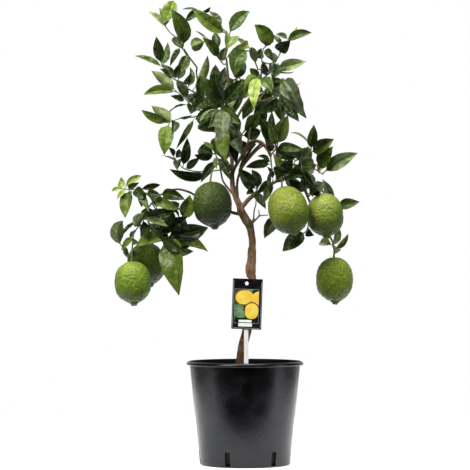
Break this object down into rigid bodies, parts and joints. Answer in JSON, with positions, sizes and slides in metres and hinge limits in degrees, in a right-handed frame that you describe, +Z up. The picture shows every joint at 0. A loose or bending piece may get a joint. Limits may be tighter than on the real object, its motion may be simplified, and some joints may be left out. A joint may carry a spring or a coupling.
{
  "type": "potted lemon tree",
  "caption": "Young lemon tree with a bent woody trunk, leafy shoots and hanging unripe lemons, rooted in a round black nursery pot with a picture plant tag on a stake.",
  "frame": {"origin": "centre of the pot's foot, on the surface that it stands on", "axes": "+Z up along the pot's axis, -Y towards the front where the tag is read, +X to the right seen from the front"},
  "size_m": [0.4037, 0.25, 0.7572],
  "materials": {
    "pot_plastic": "black blow-moulded polypropylene, soft gloss",
    "potting_soil": "damp peat and bark potting soil, rough crumbs",
    "bark": "reddish grey-brown bark, ridged on the trunk",
    "leaf": "leathery green leaf with a soft waxy gloss, paler underneath",
    "lemon_skin": "pebbly unripe lemon rind, waxy",
    "tag_card": "printed plastic plant tag, black border",
    "stake_plastic": "white plastic stake"
  },
  "bodies": {
    "root": {"pot": "pot_plastic", "soil": "potting_soil", "trunk_and_limbs": "bark", "tag_card": "tag_card", "tag_stake": "stake_plastic", "lemon_front": "lemon_skin", "lemon_right": "lemon_skin", "lemon_low_right": "lemon_skin", "lemon_centre": "lemon_skin", "lemon_low_left": "lemon_skin", "lemon_back_left": "lemon_skin", "shoot_top_left": "leaf", "shoot_left_upper": "leaf", "shoot_left_lower": "leaf", "shoot_top_centre": "leaf", "shoot_top_middle": "leaf", "shoot_top_right": "leaf", "shoot_right_tuft": "leaf", "shoot_upper_right": "leaf", "shoot_right_upper": "leaf", "shoot_shoulder": "leaf", "shoot_upper_centre": "leaf", "shoot_centre": "leaf", "shoot_centre_low": "leaf", "shoot_centre_left": "leaf", "shoot_middle": "leaf", "shoot_middle_low": "leaf", "shoot_left_middle": "leaf", "shoot_left_tuft": "leaf", "shoot_arm_tip": "leaf", "shoot_arm": "leaf", "shoot_fan": "leaf", "shoot_fan_upper": "leaf", "shoot_fruit_left": "leaf", "shoot_right_centre": "leaf", "shoot_arch_tip": "leaf", "shoot_right_low": "leaf", "shoot_front_low": "leaf", "shoot_front_right": "leaf", "shoot_behind_lemons": "leaf", "shoot_right_reach": "leaf", "shoot_far_right": "leaf", "shoot_behind_right": "leaf", "shoot_fruit_right": "leaf", "shoot_under_front": "leaf", "shoot_under_centre": "leaf", "shoot_inner_left": "leaf", "shoot_inner_right": "leaf", "shoot_inner_middle": "leaf", "shoot_inner_low": "leaf", "shoot_inner_arm": "leaf", "shoot_inner_fan": "leaf", "shoot_back_upper": "leaf", "shoot_back_right": "leaf", "shoot_back_middle": "leaf", "shoot_back_low": "leaf"}
  },
  "joints": []
}
